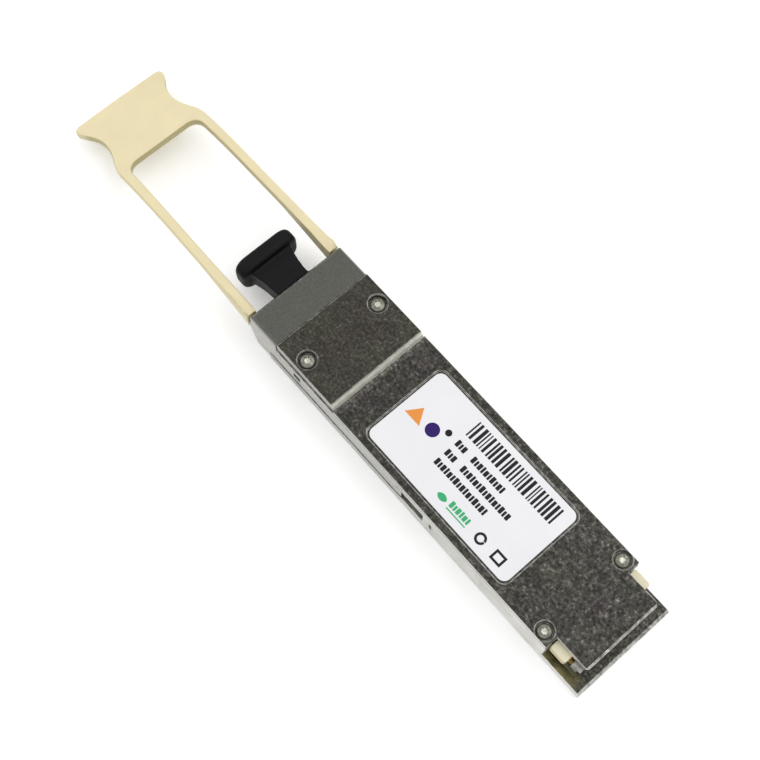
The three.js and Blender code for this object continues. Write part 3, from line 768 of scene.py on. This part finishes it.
def build_module():
    # Brighter copies of the nickel for edges, ridge and counterbores: painted highlights.
    castings = [cast_cover(), edge_nickel("nickel_edge_bright", 0.85), edge_nickel("nickel_edge", 0.42),
                ridge_nickel(), shell_nickel(), edge_nickel("nickel_bore", 0.58)]
    steel = spring_steel()
    # The brighter copy of the screw steel is a painted glint in the recess.
    screw = [screw_steel("screw_steel", 0.3), screw_steel("screw_recess", 0.75)]
    ivory = ivory_plastic("tab_plastic", (0.83, 0.73, 0.46), (0.4, 0.345, 0.16), inside=8.2)
    port = plain_moulding("port_plastic", (0.012, 0.012, 0.014))
    softened("top_cover", 0.1, castings, paint=cover_face)
    softened("lower_shell", 0.08, castings, paint=shell_face, split=(WALL_REAR,))
    softened("latch_slider", 0.06, [steel], body="latch")
    softened("port_receptacle", 0.08, [port])
    block = ivory_plastic("block_plastic", (0.8, 0.74, 0.53), (0.5, 0.43, 0.22), 0.3)
    for word, side in SIDES:
        softened("locator_block_" + word, 0.16, [block], 3)
        return_spring(word, side, steel)
        for end, spec in (("front", FRONT_SCREW), ("rear", REAR_SCREW)):
            cover_screw(f"screw_{end}_{word}", spec["x"], side * spec["y"], spec["seat"], spec["head"],
                        spec["tip"], screw)
    softened("ground_clip", 0.05, [edge_nickel("clip_nickel", 0.6)])
    pull_tab(ivory)
    dust_plug(black_elastomer())
    label_plate(label_film())
    label_print()
    dress_cad_nodes(steel)


def dress_cad_nodes(steel):
    """Procedural finishes for the CAD nodes that show as they are, most of them inside."""
    gold = plain_moulding("contact_gold", (0.83, 0.56, 0.18), 0.25, 0.4, metallic=1.0)
    mould = plain_moulding("chip_mould", (0.016, 0.016, 0.018), 0.45, 0.15)
    ceramic = plain_moulding("chip_ceramic", (0.45, 0.34, 0.2), 0.4, 0.2)
    pad = plain_moulding("thermal_pad", (0.25, 0.32, 0.42), 0.7, 0.2)
    gasket = plain_moulding("seam_gasket", (0.03, 0.03, 0.03), 0.7, 0.2)
    finishes = {
        "circuit_board": board_laminate(),
        "ferrule": plain_moulding("ferrule_polymer", (0.02, 0.02, 0.022)),
        "fibre_ribbon": plain_moulding("fibre_ribbon", (0.05, 0.4, 0.52), 0.35),
        "lens_block": plain_moulding("lens_polymer", (0.45, 0.16, 0.03), 0.15, 1.0),
        "oscillator": steel,
        "ferrule_clamp": steel,
    }
    for names, material in (
        (("contact_row_top", "contact_row_bottom", "laser_array", "photodiode_array"), gold),
        (("laser_driver", "receiver_amplifier", "controller", "retimer_transmit", "retimer_receive",
          "power_inductor"), mould),
        ([f"capacitor_{i}" for i in range(1, 7)], ceramic),
        (("thermal_pad_optics", "thermal_pad_drivers"), pad),
        (("seam_gasket_left", "seam_gasket_right"), gasket),
        (("guide_pin_left", "guide_pin_right"), steel),
    ):
        finishes.update({name: material for name in names})
    for name, material in finishes.items():
        NODES[name].data.materials.clear()
        NODES[name].data.materials.append(material)


# ---------------------------------------------------------------- stage
def add_area(name, location, size, energy):
    light = bpy.data.lights.new(name, "AREA")
    light.shape = "DISK"
    light.size = size
    light.energy = energy
    made = bpy.data.objects.new(name, light)
    bpy.context.scene.collection.objects.link(made)
    made.location = location
    made.rotation_euler = (-Vector(location)).to_track_quat("-Z", "Y").to_euler()


def add_stage():
    reach = 3.0
    mesh = bpy.data.meshes.new("floor")
    corners = [(-reach, -reach, 0), (reach, -reach, 0), (reach, reach, 0), (-reach, reach, 0)]
    mesh.from_pydata(corners, [], [(0, 1, 2, 3)])
    floor = bpy.data.objects.new("floor", mesh)
    bpy.context.scene.collection.objects.link(floor)
    pale = Material("floor_lit_paper", roughness=0.9, Emission_Strength=0.2)
    pale.shader.inputs["Emission Color"].default_value = (1, 1, 1, 1)
    pale.colour(pale.ramp(pale.noise(40.0), (0.3, 0.97), (0.7, 0.99)))
    mesh.materials.append(pale.material)
    world = bpy.data.worlds.new("studio")
    world.use_nodes = True
    background = world.node_tree.nodes["Background"]
    background.inputs["Color"].default_value = (1.0, 1.0, 1.0, 1)
    background.inputs["Strength"].default_value = 0.86
    bpy.context.scene.world = world
    add_area("key", (0.12, 0.3, 0.6), 0.6, 0.85)
    add_area("fill", (-0.35, -0.3, 0.45), 0.6, 0.3)
    bpy.context.scene.view_settings.view_transform = "Standard"


add_camera()
build_module()
add_stage()
